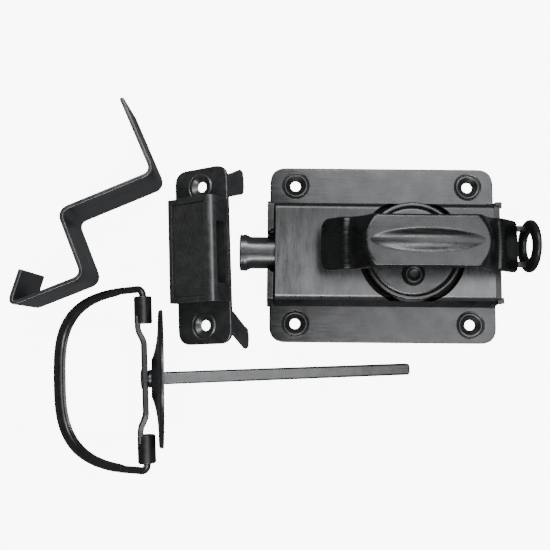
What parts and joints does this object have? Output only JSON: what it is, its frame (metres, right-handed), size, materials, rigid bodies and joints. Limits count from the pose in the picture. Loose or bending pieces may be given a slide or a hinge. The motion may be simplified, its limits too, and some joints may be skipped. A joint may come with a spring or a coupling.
{
  "type": "spring gate latch kit",
  "caption": "Rim gate latch kit laid out flat: latch with spring bolt and arched turn handle, box keeper, bent striker strap, and ring handle on a round rose with a long square spindle.",
  "frame": {"origin": "middle of the latch body's four-screw pattern, on the back face of its plate", "axes": "+X along the latch body away from the bolt, +Y up the mounted plate, +Z out of the gate's face; the loose items lie on the plane z = 0"},
  "size_m": [0.2348, 0.1694, 0.0594],
  "materials": {
    "back_plate": "satin dark grey enamel, worn brighter at the edges",
    "housing": "satin dark grey enamel on pressed steel",
    "forend": "satin near-black enamel",
    "rear_wall": "satin near-black enamel",
    "case_rivets": "dull steel",
    "hub_bush": "turned bearing metal",
    "spring_rod": "bare steel rod",
    "bolt": "satin dark grey, polished by use on its top",
    "bolt_carriage": "bare sheet steel",
    "carriage_rivets": "dull steel",
    "bolt_spring": "spring wire",
    "hub": "turned steel",
    "hub_cam": "bare steel",
    "hub_cap": "satin dark grey enamel with a bright rolled rim",
    "hub_rivets": "near-black rivet with a dimple",
    "hub_clip": "spring steel",
    "handle_post": "satin near-black enamel",
    "arch_handle": "satin dark grey enamel",
    "cord_eye": "satin near-black enamel",
    "keeper_strap": "satin dark grey enamel",
    "keeper_box": "satin near-black enamel",
    "keeper_liner": "rough near-black textured paint",
    "keeper_rivets": "dull steel",
    "striker_strap": "satin dark grey enamel",
    "rose": "satin dark grey enamel",
    "rose_washer": "black fibre",
    "spindle": "satin dark grey",
    "ring_bracket": "satin dark grey enamel",
    "spindle_head": "satin dark grey enamel",
    "drop_ring": "satin dark grey enamel",
    "ring_grip": "satin dark grey enamel",
    "pivot_caps": "near-black rivet heads"
  },
  "bodies": {
    "case": {"back_plate": "back_plate", "housing": "housing", "forend": "forend", "rear_wall": "rear_wall", "case_rivets": "case_rivets", "hub_bush": "hub_bush", "spring_rod": "spring_rod", "bolt_spring": "bolt_spring"},
    "bolt_set": {"bolt": "bolt", "bolt_carriage": "bolt_carriage", "carriage_rivets": "carriage_rivets"},
    "handle": {"hub": "hub", "hub_cam": "hub_cam", "hub_cap": "hub_cap", "hub_rivets": "hub_rivets", "hub_clip": "hub_clip", "handle_post": "handle_post", "arch_handle": "arch_handle", "cord_eye": "cord_eye"},
    "keeper": {"keeper_strap": "keeper_strap", "keeper_box": "keeper_box", "keeper_liner": "keeper_liner", "keeper_rivets": "keeper_rivets"},
    "striker": {"striker_strap": "striker_strap"},
    "rose_plate": {"rose": "rose", "rose_washer": "rose_washer"},
    "spindle_set": {"spindle": "spindle", "ring_bracket": "ring_bracket", "spindle_head": "spindle_head"},
    "ring": {"drop_ring": "drop_ring", "ring_grip": "ring_grip", "pivot_caps": "pivot_caps"}
  },
  "joints": [
    {"name": "handle_turn", "type": "hinge", "parent": "case", "child": "handle", "pos_m": [0.012, 0, 0], "axis": [0, 0, 1], "range_deg": [0, 45], "stiffness_Nm_per_rad": 0.02, "springref_deg": -17.19},
    {"name": "bolt_slide", "type": "slide", "parent": "case", "child": "bolt_set", "axis": [1, 0, 0], "range_m": [0, 0.0134], "stiffness_N_per_m": 300, "springref_m": -0.006, "deforming": ["bolt_spring"]},
    {"name": "keeper_lift", "type": "slide", "parent": "case", "child": "keeper", "axis": [0, 0, 1], "range_m": [0, 0.03]},
    {"name": "striker_lift", "type": "slide", "parent": "case", "child": "striker", "axis": [0, 0, 1], "range_m": [0, 0.03]},
    {"name": "ring_handle_lift", "type": "slide", "parent": "case", "child": "rose_plate", "axis": [0, 0, 1], "range_m": [0, 0.03]},
    {"name": "spindle_turn", "type": "hinge", "parent": "rose_plate", "child": "spindle_set", "pos_m": [-0.102, -0.0592, 0.02949], "axis": [0.9727, 0.034, -0.2296], "range_deg": [-40, 20]},
    {"name": "ring_swing", "type": "hinge", "parent": "spindle_set", "child": "ring", "pos_m": [-0.10881, -0.05944, 0.0311], "axis": [-0.0553, 0.9985, 0.0048], "range_deg": [-40, 128]}
  ],
  "couplings": [
    {"joint": "bolt_slide", "follows": "handle_turn", "m_per_rad": 0.01705}
  ]
}
